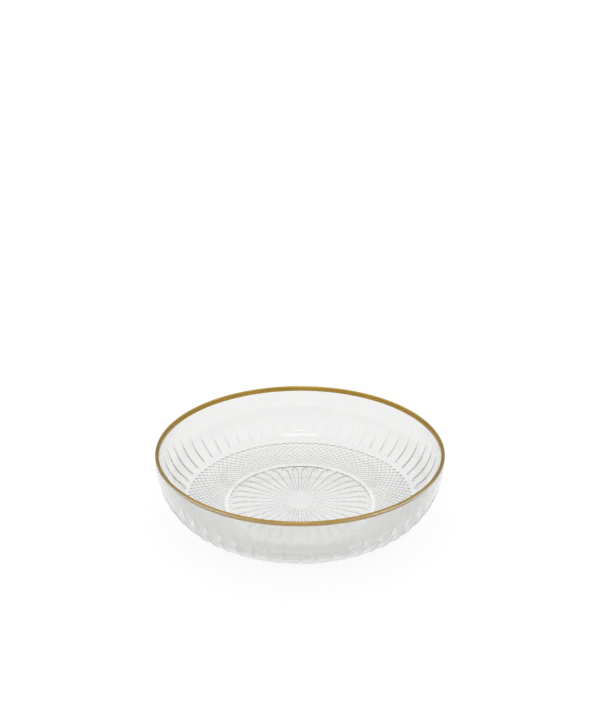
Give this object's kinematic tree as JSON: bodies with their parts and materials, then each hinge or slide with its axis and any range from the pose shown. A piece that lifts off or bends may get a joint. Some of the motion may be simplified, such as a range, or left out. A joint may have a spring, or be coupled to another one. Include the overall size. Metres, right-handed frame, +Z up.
{
  "type": "pressed glass serving bowl",
  "caption": "Shallow round clear pressed-glass serving bowl with a smooth inside, fluted and diamond-patterned outside, arched rosette base and gilt lip.",
  "frame": {"origin": "centre of the foot ring, on the table", "axes": "+Z up through the middle of the bowl, and the bowl is the same all round"},
  "size_m": [0.2002, 0.2002, 0.05],
  "materials": {
    "clear_glass": "fire-polished clear pressed glass",
    "gilding": "bright fired gold, slightly worn"
  },
  "bodies": {
    "root": {"glass_bowl": "clear_glass", "gilt_rim": "gilding"}
  },
  "joints": []
}
